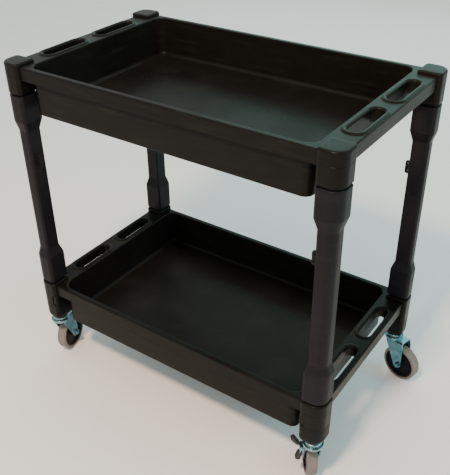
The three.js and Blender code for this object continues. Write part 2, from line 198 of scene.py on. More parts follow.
# ---------------------------------------------------------------- finishes
def moulded_plastic(name, colour, dust_and_sheen, gloss=0.3, grain=0.5):
    """Pebble-grained moulded plastic with cloudy flow marks, lighter streaks of rubbing and painted sheen,
    and a trace of dust.
    """
    material, nodes, links, shader = new_finish(name)
    place = object_place(nodes, links)
    clouds = noise(nodes, links, place, 7, 5)
    streaks = noise(nodes, links, object_place(nodes, links, (3, 3, 26)), 4, 6)
    speckle = noise(nodes, links, place, 420, 2)
    pebble = add_node(nodes, "ShaderNodeTexVoronoi", Scale=650.0, feature="SMOOTH_F1", Smoothness=0.7)
    links.new(place, pebble.inputs["Vector"])
    tone = spread(nodes, links, clouds, 0, 1)
    base = blend_colours(nodes, links, tone, colour, tuple(c * 1.35 for c in colour))
    # Lighter streaks: partly rubbing marks, partly a painted sheen on the plastic.
    rubbed_and_sheen = spread(nodes, links, streaks, 0, 0.35, 0.52, 0.78)
    base = blend_colours(nodes, links, rubbed_and_sheen, base, dust_and_sheen)
    specks = spread(nodes, links, speckle, 0, 0.25, 0.62, 0.74)
    base = blend_colours(nodes, links, specks, base, tuple(c * 1.5 for c in dust_and_sheen))
    links.new(base, shader.inputs["Base Color"])
    links.new(spread(nodes, links, clouds, gloss - 0.05, gloss + 0.1), shader.inputs["Roughness"])
    waves = bump(nodes, links, noise(nodes, links, place, 16, 3), 0.0012, 0.25)
    pebbled = bump(nodes, links, pebble.outputs["Distance"], 0.00022, grain, waves)
    links.new(pebbled, shader.inputs["Normal"])
    shader.inputs["Specular IOR Level"].default_value = 0.085
    return material


def zinc_plate():
    """Bright zinc plating on pressed steel with pressing marks; its teal tint is partly a faint iridescent
    passivation, partly a painted reflection.
    """
    material, nodes, links, shader = new_finish("zinc plate")
    place = object_place(nodes, links)
    clouds = noise(nodes, links, place, 60, 5)
    brushed = noise(nodes, links, object_place(nodes, links, (40, 40, 600)), 3, 4)
    tone = spread(nodes, links, clouds, 0, 1)
    # Teal base colour: partly the zinc's passivation, partly a painted reflection of teal surroundings.
    tint = blend_colours(nodes, links, tone, (0.09, 0.25, 0.31), (0.29, 0.44, 0.46))
    links.new(tint, shader.inputs["Base Color"])
    shader.inputs["Metallic"].default_value = 0.92
    links.new(spread(nodes, links, clouds, 0.2, 0.38), shader.inputs["Roughness"])
    links.new(bump(nodes, links, brushed, 0.0001, 0.25), shader.inputs["Normal"])
    return material


def dark_steel():
    material, nodes, links, shader = new_finish("drawn steel")
    place = object_place(nodes, links)
    shade = spread(nodes, links, noise(nodes, links, place, 150, 3), 0, 1)
    tint = blend_colours(nodes, links, shade, (0.26, 0.27, 0.27), (0.4, 0.4, 0.38))
    links.new(tint, shader.inputs["Base Color"])
    shader.inputs["Metallic"].default_value = 0.9
    shader.inputs["Roughness"].default_value = 0.35
    links.new(bump(nodes, links, noise(nodes, links, place, 500, 2), 0.0001, 0.3), shader.inputs["Normal"])
    return material


def tread_rubber():
    """Non-marking grey rubber with floor scuffs and a dull bloom."""
    material, nodes, links, shader = new_finish("tread rubber")
    place = object_place(nodes, links)
    patches = noise(nodes, links, place, 45, 5)
    scuffs = noise(nodes, links, place, 260, 4)
    tone = spread(nodes, links, patches, 0, 1)
    base = blend_colours(nodes, links, tone, (0.15, 0.125, 0.11), (0.205, 0.175, 0.155))
    marks = spread(nodes, links, scuffs, 0, 0.55, 0.58, 0.75)
    base = blend_colours(nodes, links, marks, base, (0.12, 0.105, 0.095))
    links.new(base, shader.inputs["Base Color"])
    links.new(spread(nodes, links, patches, 0.55, 0.75), shader.inputs["Roughness"])
    links.new(bump(nodes, links, scuffs, 0.0003, 0.35), shader.inputs["Normal"])
    return material


def black_rubber():
    material, nodes, links, shader = new_finish("pedal rubber")
    place = object_place(nodes, links)
    shade = spread(nodes, links, noise(nodes, links, place, 120, 4), 0, 1)
    base = blend_colours(nodes, links, shade, (0.006, 0.006, 0.007), (0.016, 0.016, 0.016))
    links.new(base, shader.inputs["Base Color"])
    shader.inputs["Roughness"].default_value = 0.48
    links.new(bump(nodes, links, noise(nodes, links, place, 900, 2), 0.0002, 0.4), shader.inputs["Normal"])
    return material


# ---------------------------------------------------------------- shape helpers
def as_object(name, vertices, faces):
    mesh = bpy.data.meshes.new(name)
    mesh.from_pydata([tuple(v) for v in vertices], [], faces)
    work = bmesh.new()
    work.from_mesh(mesh)
    bmesh.ops.remove_doubles(work, verts=work.verts, dist=1e-7)
    bmesh.ops.recalc_face_normals(work, faces=work.faces)
    work.to_mesh(mesh)
    work.free()
    piece = bpy.data.objects.new(name, mesh)
    bpy.context.scene.collection.objects.link(piece)
    return piece


def fillet(points, steps=4, closed=False):
    """Rounds a path of (across, up, extra, radius) points. Returns (across, up, extra) points, with as many
    for every path of the same length, so paths round alike ring by ring."""
    result = []
    count = len(points)
    for i, (u, v, extra, radius) in enumerate(points):
        ends = not closed and i in (0, count - 1)
        if ends or radius <= 0:
            result.append((u, v, extra))
            continue
        here = Vector((u, v))
        before, after = points[i - 1], points[(i + 1) % count]
        to_before = Vector(before[:2]) - here
        to_after = Vector(after[:2]) - here
        half_turn = max(to_before.angle(to_after) / 2, 1e-4)
        reach = min(radius / math.tan(half_turn), 0.49 * to_before.length, 0.49 * to_after.length)
        first = here + to_before.normalized() * reach
        last = here + to_after.normalized() * reach
        extra_first = extra + (before[2] - extra) * reach / to_before.length
        extra_last = extra + (after[2] - extra) * reach / to_after.length
        true_radius = reach * math.tan(half_turn)
        bisector = (to_before.normalized() + to_after.normalized()).normalized()
        middle = here + bisector * true_radius / math.sin(half_turn)
        sweep = (first - middle).angle_signed(last - middle) if true_radius > 1e-9 else 0
        for step in range(steps + 1):
            share = step / steps
            arm = (first - middle).copy()
            arm.rotate(Matrix.Rotation(-sweep * share, 2))
            point = middle + arm
            result.append((point.x, point.y, extra_first + (extra_last - extra_first) * share))
    return result


def plain_path(points, radius, steps=4, closed=False):
    """Rounds plain (across, up) points by one radius, or by a third number in a point."""
    full = [(p[0], p[1], 0.0, p[2] if len(p) > 2 else radius) for p in points]
    return [(u, v) for u, v, _ in fillet(full, steps, closed)]


def corner_ring(half_x, half_y, radii, heights, centre=(0, 0), steps=10):
    """A rounded rectangle, anticlockwise from the +X +Y corner. Its height runs from the first number on
    the X-facing sides to the second on the Y-facing sides."""
    ring = []
    for index, (sx, sy) in enumerate(((1, 1), (-1, 1), (-1, -1), (1, -1))):
        radius = radii[index]
        for step in range(steps + 1):
            angle = (index + step / steps) * math.pi / 2
            share = math.cos(angle) ** 2
            ring.append(Vector((centre[0] + sx * (half_x - radius) + radius * math.cos(angle),
                                centre[1] + sy * (half_y - radius) + radius * math.sin(angle),
                                heights[0] * share + heights[1] * (1 - share))))
    return ring


def slot_ring(half_width, half_length, height, centre, steps=14):
    """An obround ring, long along Y."""
    ring = []
    straight = half_length - half_width
    for end, middle in enumerate((centre[1] + straight, centre[1] - straight)):
        for step in range(steps + 1):
            angle = (end + step / steps) * math.pi
            ring.append(Vector((centre[0] + half_width * math.cos(angle),
                                middle + half_width * math.sin(angle), height)))
    return ring


def loft(name, rings, looped=False):
    """Joins rings of equally many points. A looped loft closes on its first ring, any other is capped."""
    count = len(rings[0])
    vertices = [point for ring in rings for point in ring]
    faces = []
    levels = len(rings)
    for level in range(levels if looped else levels - 1):
        low, high = level * count, ((level + 1) % levels) * count
        for i in range(count):
            j = (i + 1) % count
            faces.append((low + i, low + j, high + j, high + i))
    if not looped:
        faces.append(tuple(reversed(range(count))))
        faces.append(tuple(range((levels - 1) * count, levels * count)))
    return as_object(name, vertices, faces)


def turned(name, outline, sides=64, axis="Z"):
    """Turns a closed (radius, along) outline about an axis. Points on the axis close the ends."""
    rings = []
    for radius, along in outline:
        ring = []
        for step in range(sides):
            angle = 2 * math.pi * step / sides
            ring.append(Vector((radius * math.cos(angle), radius * math.sin(angle), along)))
        rings.append(ring)
    on_axis = outline[0][0] < 1e-9 and outline[-1][0] < 1e-9
    piece = loft(name, rings, looped=not on_axis)
    if axis == "Y":
        piece.data.transform(Matrix.Rotation(math.pi / 2, 4, "X"))
    if axis == "X":
        piece.data.transform(Matrix.Rotation(math.pi / 2, 4, "Y"))
    return piece


def plate(name, outline, axis, low, high):
    """A flat plate whose closed (across, up) outline is (y, z) along X, (x, z) along Y or (x, y) along Z."""
    def place(u, v, w):
        return {"X": Vector((w, u, v)), "Y": Vector((u, w, v)), "Z": Vector((u, v, w))}[axis]
    return loft(name, [[place(u, v, w) for u, v in outline] for w in (low, high)])


def replace_mesh(piece, mesh):
    old = piece.data
    piece.modifiers.clear()
    piece.data = mesh
    bpy.data.meshes.remove(old)


def bake_modifiers(piece):
    graph = bpy.context.evaluated_depsgraph_get()
    replace_mesh(piece, bpy.data.meshes.new_from_object(piece.evaluated_get(graph)))


def combine(piece, others, operation):
    """Joins, cuts or crosses a closed piece with closed others, which are used up."""
    for other in others:
        modifier = piece.modifiers.new("combine", "BOOLEAN")
        modifier.operation = operation
        modifier.solver = "MANIFOLD"
        modifier.object = other
        bake_modifiers(piece)
        bpy.data.objects.remove(other)
    return piece


def soften_edges(piece, width, segments=2, angle=35):
    modifier = piece.modifiers.new("soft edges", "BEVEL")
    modifier.width = width
    modifier.segments = segments
    modifier.limit_method = "ANGLE"
    modifier.angle_limit = math.radians(angle)
    modifier.miter_outer = "MITER_ARC"
    bake_modifiers(piece)
    return piece


def smooth(piece, angle=35):
    """Smooth shading that keeps hard edges, weighted so that flats stay flat."""
    piece.data.shade_smooth()
    piece.data.set_sharp_from_angle(angle=math.radians(angle))
    modifier = piece.modifiers.new("weighted", "WEIGHTED_NORMAL")
    modifier.keep_sharp = True
    bake_modifiers(piece)
    return piece


def finish_piece(piece, material, body, slot, *nodes):
    piece.data.materials.clear()
    piece.data.materials.append(material)
    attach(piece, body)
    if nodes:
        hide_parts(*nodes)
    return piece


# ---------------------------------------------------------------- geometry node builders
def new_tree(name, numbers):
    """A geometry tree with named size inputs and a material input. Returns the tree and its group input."""
    tree = bpy.data.node_groups.new(name, "GeometryNodeTree")
    for label, kind in numbers:
        tree.interface.new_socket(label, in_out="INPUT", socket_type=kind)
    tree.interface.new_socket("Finish", in_out="INPUT", socket_type="NodeSocketMaterial")
    tree.interface.new_socket("Geometry", in_out="OUTPUT", socket_type="NodeSocketGeometry")
    return tree, tree.nodes.new("NodeGroupInput")


def end_tree(tree, start, instances):
    """Ends a tree in real geometry with its finish set."""
    nodes, links = tree.nodes, tree.links
    real = nodes.new("GeometryNodeRealizeInstances")
    painted = nodes.new("GeometryNodeSetMaterial")
    end = nodes.new("NodeGroupOutput")
    links.new(instances, real.inputs["Geometry"])
    links.new(real.outputs["Geometry"], painted.inputs["Geometry"])
    links.new(start.outputs["Finish"], painted.inputs["Material"])
    links.new(painted.outputs["Geometry"], end.inputs["Geometry"])


def run_tree(name, tree, values):
    """Makes a plain mesh from a tree with the given inputs."""
    holder = bpy.data.objects.new(name, bpy.data.meshes.new(name))
    bpy.context.scene.collection.objects.link(holder)
    modifier = holder.modifiers.new("nodes", "NODES")
    modifier.node_group = tree
    sockets = {item.name: item.identifier for item in tree.interface.items_tree if item.in_out == "INPUT"}
    for label, value in values.items():
        modifier[sockets[label]] = value
    bake_modifiers(holder)
    return holder


def ball_ring_tree(name):
    """Balls set evenly round the Z axis."""
    tree, start = new_tree(name, [("Count", "NodeSocketInt"), ("Ring Radius", "NodeSocketFloat"),
                                  ("Height", "NodeSocketFloat"), ("Ball Radius", "NodeSocketFloat")])
    nodes, links = tree.nodes, tree.links
    circle = nodes.new("GeometryNodeMeshCircle")
    links.new(start.outputs["Count"], circle.inputs["Vertices"])
    links.new(start.outputs["Ring Radius"], circle.inputs["Radius"])
    lift = nodes.new("ShaderNodeCombineXYZ")
    links.new(start.outputs["Height"], lift.inputs["Z"])
    moved = nodes.new("GeometryNodeSetPosition")
    links.new(circle.outputs["Mesh"], moved.inputs["Geometry"])
    links.new(lift.outputs["Vector"], moved.inputs["Offset"])
    copies = nodes.new("GeometryNodeInstanceOnPoints")
    links.new(moved.outputs["Geometry"], copies.inputs["Points"])
    ball = nodes.new("GeometryNodeMeshIcoSphere")
    ball.inputs["Subdivisions"].default_value = 3
    links.new(start.outputs["Ball Radius"], ball.inputs["Radius"])
    links.new(ball.outputs["Mesh"], copies.inputs["Instance"])
    end_tree(tree, start, copies.outputs["Instances"])
    return tree


# ---------------------------------------------------------------- trays
BLOCK_SIDE = 52 * MM
BLOCK_HEIGHT = 66 * MM
BLOCK_RISE = 7 * MM
BLOCK_ROUNDS = (26 * MM, 9 * MM, 4 * MM)
PARTING_DROP = 27 * MM
SOCKET_HALF = 20.5 * MM
LEG_SOCKET_DEPTH = 37 * MM
FOOT_SOCKET_DEPTH = 21 * MM
RIM_INSET = 9 * MM
RIM_HEIGHT = 28.4 * MM
RIM_ROUND = 30 * MM
SKIN = 3.6 * MM
WALL = 4 * MM
MOUTH = (332 * MM, 212 * MM)
MOUTH_ROUND = 24 * MM
FLOOR = (324 * MM, 209 * MM)
FLOOR_ROUND = 14 * MM
TUB_DEPTH = 90 * MM
# How far the walls reach below the top of the floor, as a stiffening rim underneath
FOOT_RIM = 12.5 * MM
HANDLE_X = 361 * MM
HANDLE_Y = 81 * MM
HANDLE_HALF_WIDTH = 13.5 * MM
HANDLE_HALF_LENGTH = 58 * MM
GRIP_DEPTH = 25 * MM
GRIP_WALL = 4 * MM
WINDOW_HALF_WIDTH = 5 * MM
WINDOW_HEIGHT = 27 * MM
WINDOW_OFFSET = 18 * MM


def corner_radii(sx, sy, scale=1.0, inset=0.0):
    """Corner rounds of a block or leg: widest on the corner that faces out of the cart."""
    outer, side, inner = (max(r * scale - inset, 0.4 * MM) for r in BLOCK_ROUNDS)
    radii = []
    for cx, cy in ((1, 1), (-1, 1), (-1, -1), (1, -1)):
        if (cx, cy) == (sx, sy):
            radii.append(outer)
        elif (cx, cy) == (-sx, -sy):
            radii.append(inner)
        else:
            radii.append(side)
    return radii


def signs(corner):
    return (1 if "right" in corner else -1), (1 if "back" in corner else -1)


def tray_section(half, mouth, floor, top):
    """One side's section, from the middle of the floor inside to the middle of it outside."""
    skirt = half - RIM_INSET
    sole = top - TUB_DEPTH
    return fillet([
        (floor - 26 * MM, sole, 9 * MM, 0),
        (floor, sole, FLOOR_ROUND, 10 * MM),
        (mouth, top, MOUTH_ROUND, 3 * MM),
        (skirt, top, RIM_ROUND, 3.5 * MM),
        (skirt, top - RIM_HEIGHT, RIM_ROUND, 1.2 * MM),
        (skirt - SKIN, top - RIM_HEIGHT, RIM_ROUND - 3 * MM, 1 * MM),
        (skirt - SKIN, top - SKIN, RIM_ROUND - 3 * MM, 1 * MM),
        (mouth + WALL, top - SKIN, MOUTH_ROUND + WALL, 1.5 * MM),
        (floor + WALL + 1 * MM, sole - FOOT_RIM, FLOOR_ROUND + WALL + 1 * MM, 3 * MM),
        (floor - 3 * MM, sole - FOOT_RIM, 12 * MM, 1.5 * MM),
        (floor - 4 * MM, sole - WALL, 12 * MM, 2 * MM),
        (floor - 24 * MM, sole - WALL, 9 * MM, 0),
    ], steps=6)


def tray_shell(name, top):
    side = tray_section(TRAY_HALF[0], MOUTH[0], FLOOR[0], top)
    front = tray_section(TRAY_HALF[1], MOUTH[1], FLOOR[1], top)
    rings = []
    for (x, zx, round_x), (y, zy, _) in zip(side, front):
        rings.append(corner_ring(x, y, [round_x] * 4, (zx, zy), steps=12))
    return loft(name, rings)


def handle_grip(centre, top):
    """The rounded collar of one hand slot, proud of the rim and reaching down inside it."""
    path = fillet([
        (0, top - GRIP_DEPTH, 0, 1.2 * MM),
        (GRIP_WALL, top - GRIP_DEPTH, 0, 1.0 * MM),
        (GRIP_WALL, top - 3 * MM, 0, 1.0 * MM),
        (13.4 * MM, top - 1.1 * MM, 0, 0.2 * MM),
        (6.0 * MM, top + 3.6 * MM, 0, 6 * MM),
        (0, top + 1.0 * MM, 0, 6 * MM),
    ], steps=8, closed=True)
    rings = [slot_ring(HANDLE_HALF_WIDTH + grow, HANDLE_HALF_LENGTH + grow, z, centre) for grow, z, _ in path]
    return loft("grip", rings, looped=True)


def handle_opening(centre, top):
    rings = [slot_ring(HANDLE_HALF_WIDTH + 3 * MM, HANDLE_HALF_LENGTH + 3 * MM, z, centre)
             for z in (top - 14 * MM, top + 6 * MM)]
    return loft("opening", rings)


def corner_block(sx, sy, boss):
    """A corner block with a rounded top edge and a fine parting groove."""
    half = BLOCK_SIDE / 2
    parting = boss - PARTING_DROP
    groove = 0.55 * MM
    path = fillet([
        (4 * MM, boss - BLOCK_HEIGHT, 0, 0),
        (0.2 * MM, boss - BLOCK_HEIGHT, 0, 1.4 * MM),
        (0.2 * MM, parting - groove, 0, 0.3 * MM),
        (0.75 * MM, parting, 0, 0.15 * MM),
        (0, parting + groove, 0, 0.3 * MM),
        (0, boss, 0, 4.2 * MM),
        (9 * MM, boss + 0.25 * MM, 0, 0),
    ], steps=5)
    centre = (sx * CORNER[0], sy * CORNER[1])
    rings = [corner_ring(half - inset, half - inset, corner_radii(sx, sy, 1.0, inset), (z, z), centre)
             for inset, z, _ in path]
    return loft("block", rings)


def plug_prism(half, low, high, sx, sy):
    """A socket's cutter: the block's own shape, drawn in."""
    centre = (sx * CORNER[0], sy * CORNER[1])
    radii = corner_radii(sx, sy, half / (BLOCK_SIDE / 2))
    return loft("plug", [corner_ring(half, half, radii, (z, z), centre) for z in (low, high)])


def snap_window(sx, sy, boss):
    """A shallow window low on the Y-facing side of a block, beside the tub."""
    low = boss - BLOCK_HEIGHT
    x = sx * (CORNER[0] - WINDOW_OFFSET)
    y = sy * (CORNER[1] + BLOCK_SIDE / 2)
    left, right = x - WINDOW_HALF_WIDTH, x + WINDOW_HALF_WIDTH
    foot, head = low + 1 * MM, low + 1 * MM + WINDOW_HEIGHT
    outline = plain_path([(left, foot), (right, foot), (right, head), (left, head)], 1 * MM, closed=True)
    return plate("window", outline, "Y", y - 2 * MM, y + 2 * MM)


def make_tray(node, material, has_upper_sockets):
    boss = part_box(node)[1].z
    top = boss - BLOCK_RISE
    tray = tray_shell(f"{node}_moulding", top)
    handles = [(sx * HANDLE_X, sy * HANDLE_Y) for sx in (-1, 1) for sy in (-1, 1)]
    combine(tray, [handle_opening(centre, top) for centre in handles], "DIFFERENCE")
    combine(tray, [handle_grip(centre, top) for centre in handles], "UNION")
    cutters = []
    for corner in CORNERS:
        sx, sy = signs(corner)
        combine(tray, [corner_block(sx, sy, boss)], "UNION")
        under = boss - BLOCK_HEIGHT
        depth = FOOT_SOCKET_DEPTH if has_upper_sockets else LEG_SOCKET_DEPTH
        cutters.append(plug_prism(SOCKET_HALF, under - 5 * MM, under + depth, sx, sy))
        if has_upper_sockets:
            cutters.append(plug_prism(SOCKET_HALF, boss - LEG_SOCKET_DEPTH, boss + 5 * MM, sx, sy))
            cutters.append(snap_window(sx, sy, boss))
    combine(tray, cutters, "DIFFERENCE")
    smooth(tray, 32)
    return finish_piece(tray, material, ROOT, "tray_plastic", node)


# ---------------------------------------------------------------- legs and feet
COLLAR_HALF = 25.2 * MM
SHAFT_HALF = 18.6 * MM
SPIGOT_HALF = 20.2 * MM
LEG_BORE_HALF = 14.5 * MM
NECK = 5 * MM
TOP_COLLAR, TOP_TAPER = 60 * MM, 23 * MM
LOW_COLLAR, LOW_TAPER = 71 * MM, 22 * MM
# The lug on a leg's inner side
LUG_Z = 575 * MM
LUG_REACH = 13 * MM
LUG_HALF_HEIGHT = 15 * MM
LUG_HALF_THICK = 2.4 * MM
LUG_HOLE = 1.8 * MM
LUG_HOLE_PITCH = 16 * MM
LUG_HOLE_IN = 5.2 * MM
# The fine slot in a leg's inner face, below the lug
GROOVE_HALF = 4 * MM
GROOVE_DEPTH = 2.2 * MM


def leg_ring(half, z, sx, sy, centre):
    scale = half / (BLOCK_SIDE / 2)
    return corner_ring(half, half, corner_radii(sx, sy, scale), (z, z), centre)


def leg_lug(sx, centre):
    """The thin lug on a leg's inner side, with its two small holes."""
    inner = centre[0] - sx * (SHAFT_HALF - 2 * MM)
    outer = centre[0] - sx * (SHAFT_HALF + LUG_REACH)
    low, high = LUG_Z - LUG_HALF_HEIGHT, LUG_Z + LUG_HALF_HEIGHT
    outline = plain_path([(inner, low, 0), (outer, low, 4 * MM),
                          (outer, high, 4 * MM), (inner, high, 0)], 0, closed=True)
    lug = plate("lug", outline, "Y", centre[1] - LUG_HALF_THICK, centre[1] + LUG_HALF_THICK)
    soften_edges(lug, 0.7 * MM)
    holes = []
    for z in (LUG_Z - LUG_HOLE_PITCH / 2, LUG_Z + LUG_HOLE_PITCH / 2):
        hole = turned("hole", [(0, -8 * MM), (LUG_HOLE, -8 * MM), (LUG_HOLE, 8 * MM), (0, 8 * MM)], 24, "Y")
        hole.data.transform(Matrix.Translation((outer + sx * LUG_HOLE_IN, centre[1], z)))
        holes.append(hole)
    return combine(lug, holes, "DIFFERENCE")


def make_leg(corner, material):
    sx, sy = signs(corner)
    node = f"leg_{corner}"
    low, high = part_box(node)
    centre = (sx * CORNER[0], sy * CORNER[1])
    collar_top = high.z - LEG_SOCKET_DEPTH - NECK + 0.3 * MM
    collar_low = low.z + LEG_SOCKET_DEPTH + NECK - 0.3 * MM
    path = fillet([
        (LEG_BORE_HALF, low.z, 0, 0.5 * MM),
        (SPIGOT_HALF, low.z, 0, 1.5 * MM),
        (SPIGOT_HALF, collar_low, 0, 0.8 * MM),
        (COLLAR_HALF, collar_low, 0, 2.2 * MM),
        (COLLAR_HALF, collar_low + LOW_COLLAR, 0, 14 * MM),
        (SHAFT_HALF, collar_low + LOW_COLLAR + LOW_TAPER, 0, 18 * MM),
        (SHAFT_HALF, collar_top - TOP_COLLAR - TOP_TAPER, 0, 18 * MM),
        (COLLAR_HALF, collar_top - TOP_COLLAR, 0, 8 * MM),
        (COLLAR_HALF, collar_top, 0, 2.2 * MM),
        (SPIGOT_HALF, collar_top, 0, 0.8 * MM),
        (SPIGOT_HALF, high.z, 0, 1.5 * MM),
        (LEG_BORE_HALF, high.z, 0, 0.5 * MM),
    ], steps=5, closed=True)
    leg = loft(f"{node}_tube", [leg_ring(half, z, sx, sy, centre) for half, z, _ in path], looped=True)
    combine(leg, [leg_lug(sx, centre)], "UNION")
    groove_y = centre[1] - sy * (SHAFT_HALF + 1 * MM)
    left, right = centre[0] - GROOVE_HALF, centre[0] + GROOVE_HALF
    foot, head = LUG_Z - 52 * MM, LUG_Z - 20 * MM
    outline = plain_path([(left, foot), (right, foot), (right, head), (left, head)], 3.8 * MM, closed=True)
    groove = plate("groove", outline, "Y", groove_y - GROOVE_DEPTH, groove_y + GROOVE_DEPTH)
    combine(leg, [groove], "DIFFERENCE")
    smooth(leg, 40)
    return finish_piece(leg, material, ROOT, "leg_plastic", node)


def make_foot(corner, material):
    sx, sy = signs(corner)
    node = f"foot_{corner}"
    low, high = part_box(node)
    centre = (sx * CORNER[0], sy * CORNER[1])
    half = BLOCK_SIDE / 2 - 0.4 * MM
    shoulder = high.z - FOOT_SOCKET_DEPTH + 0.3 * MM
    path = fillet([
        (14 * MM, low.z + 0.6 * MM, 0, 0),
        (6 * MM, low.z, 0, 3 * MM),
        (0.4 * MM, low.z + 10 * MM, 0, 12 * MM),
        (0, shoulder - 9 * MM, 0, 0.4 * MM),
        (0.5 * MM, shoulder - 8.6 * MM, 0, 0.2 * MM),
        (0, shoulder - 8 * MM, 0, 0.4 * MM),
        (0, shoulder, 0, 1 * MM),
        (half - SPIGOT_HALF, shoulder, 0, 0.4 * MM),
        (half - SPIGOT_HALF, high.z, 0, 1.2 * MM),
        (half - 9 * MM, high.z, 0, 0),
    ], steps=5)
    rings = [corner_ring(half - inset, half - inset, corner_radii(sx, sy, 1.0, inset), (z, z), centre)
             for inset, z, _ in path]
    foot = loft(f"{node}_block", rings)
    bore = turned("bore", [(0, low.z - 5 * MM), (5.9 * MM, low.z - 5 * MM), (5.9 * MM, low.z + 41 * MM),
                           (0, low.z + 41 * MM)], 40)
    bore.data.transform(Matrix.Translation((*centre, 0)))
    combine(foot, [bore], "DIFFERENCE")
    smooth(foot, 35)
    return finish_piece(foot, material, ROOT, "foot_plastic", node)


# ---------------------------------------------------------------- casters
# Each is shaped with the swivel axis on Z, the trail along +X and the axle along Y.
WHEEL_RADIUS = 46 * MM
WHEEL_HALF_WIDTH = 12 * MM
TRAIL = 32 * MM
TREAD_THICK = 7 * MM
FORK_INNER, FORK_PLATE = 15.2 * MM, 2.5 * MM
FORK_OUTER = FORK_INNER + FORK_PLATE
CROWN_Z = 110.5 * MM
CROWN_TOP = CROWN_Z + FORK_PLATE
CROWN_RADIUS = 22.5 * MM
STEM_RADIUS = 5.5 * MM
CAP_Z, CAP_RADIUS = 121.5 * MM, 19 * MM
FOOT_BOTTOM = 130 * MM
AXLE = (TRAIL, 0, WHEEL_RADIUS)
BRAKE_PIVOT = (12 * MM, 22.5 * MM, 92 * MM)
BRAKE_HALF_WIDTH = 6 * MM
LEVER_THICK = 2.5 * MM
UPPER_TIP, LOWER_TIP, TONGUE_TIP = (20 * MM, 28 * MM), (7 * MM, -34 * MM), (-8.2 * MM, -9 * MM)
# Each pedal's tip, its reach along the bar, and its thickness at the start and at the end
PEDALS = {"upper": (UPPER_TIP, 22 * MM, 7 * MM, 10 * MM), "lower": (LOWER_TIP, 19 * MM, 8 * MM, 12 * MM)}


def caster_places():
    """Each corner's placing matrix, from its swivel and wheel joints."""
    joints = {joint["name"]: Vector(joint["pos_m"]) for joint in frame["joints"]}
    places = {}
    for corner in CORNERS:
        swivel = joints[f"swivel_turn_{corner}"]
        wheel = joints[f"wheel_roll_{corner}"]
        heading = math.atan2(wheel.y - swivel.y, wheel.x - swivel.x)
        places[corner] = Matrix.Translation((swivel.x, swivel.y, 0)) @ Matrix.Rotation(heading, 4, "Z")
    return places


def seat(piece, placing, material, body, slot, *nodes):
    piece.data.transform(placing)
    return finish_piece(piece, material, body, slot, *nodes)


def make_stem(name):
    """Stem with its grip ring, domed race cap and the rivet head under the crown."""
    path = plain_path([
        (0, CROWN_Z - 4 * MM, 0), (6.5 * MM, CROWN_Z - 4 * MM, 1.2 * MM),
        (8.5 * MM, CROWN_Z - 1.6 * MM, 1 * MM),
        (8.5 * MM, CROWN_Z - 0.3 * MM, 0), (5.2 * MM, CROWN_Z - 0.3 * MM, 0), (5.2 * MM, CAP_Z, 0),
        (CAP_RADIUS, CAP_Z, 0.8 * MM), (CAP_RADIUS, CAP_Z + 3.4 * MM, 2.4 * MM),
        (13 * MM, FOOT_BOTTOM - 1.8 * MM, 3 * MM), (10 * MM, FOOT_BOTTOM - 0.4 * MM, 0.8 * MM),
        (STEM_RADIUS, FOOT_BOTTOM - 0.4 * MM, 0), (STEM_RADIUS, FOOT_BOTTOM + 24 * MM, 0.2 * MM),
        (5.0 * MM, FOOT_BOTTOM + 24.4 * MM, 0.2 * MM), (5.0 * MM, FOOT_BOTTOM + 30 * MM, 0.2 * MM),
        (STEM_RADIUS, FOOT_BOTTOM + 30.4 * MM, 0.2 * MM), (STEM_RADIUS, FOOT_BOTTOM + 36 * MM, 1 * MM),
        (4.2 * MM, FOOT_BOTTOM + 38 * MM, 0.5 * MM), (0, FOOT_BOTTOM + 38 * MM, 0),
    ], 0.4 * MM)
    return smooth(turned(name, path, 48), 40)


def make_race(name):
    """The pressed race between cap and crown, open enough to show its balls."""
    low, high = CROWN_TOP + 0.3 * MM, CAP_Z - 0.3 * MM
    middle = (low + high) / 2
    path = plain_path([
        (6.6 * MM, low, 0.3 * MM), (16.6 * MM, low, 1 * MM), (17.6 * MM, low + 2 * MM, 0.8 * MM),
        (13.5 * MM, middle - 0.8 * MM, 0.8 * MM), (13.5 * MM, middle + 0.8 * MM, 0.8 * MM),
        (17.4 * MM, high - 2 * MM, 0.8 * MM), (16.4 * MM, high, 1 * MM), (6.6 * MM, high, 0.3 * MM),
    ], 0.5 * MM, closed=True)
    return smooth(turned(name, path, 56), 40)


def fork_side_outline():
    tip = 9 * MM
    return plain_path([
        (-9 * MM, CROWN_TOP + 2 * MM, 0), (-9 * MM, 103 * MM, 6 * MM),
        (TRAIL - tip, WHEEL_RADIUS - tip, 8 * MM), (TRAIL + tip, WHEEL_RADIUS - tip, 8.9 * MM),
        (TRAIL + tip, 99 * MM, 10 * MM), (TRAIL + 3 * MM, CROWN_TOP + 2 * MM, 0),
    ], 0, steps=8, closed=True)


def fork_end_outline():
    """The folded section of the fork, seen along the trail."""
    outer, inner, low = FORK_OUTER, FORK_INNER, 30 * MM
    return plain_path([
        (-outer, low, 0), (-inner, low, 0), (-inner, CROWN_Z, 3 * MM), (inner, CROWN_Z, 3 * MM),
        (inner, low, 0), (outer, low, 0), (outer, CROWN_TOP, 5.5 * MM), (-outer, CROWN_TOP, 5.5 * MM),
    ], 0, steps=6, closed=True)


def fork_plan_outline():
    """The crown from above: a round nose and a square tail."""
    nose = [(CROWN_RADIUS * math.cos(a), CROWN_RADIUS * math.sin(a))
            for a in (math.radians(90 + step * 7.5) for step in range(25))]
    tail = [(TRAIL + 14 * MM, -CROWN_RADIUS), (TRAIL + 14 * MM, CROWN_RADIUS)]
    return nose + tail


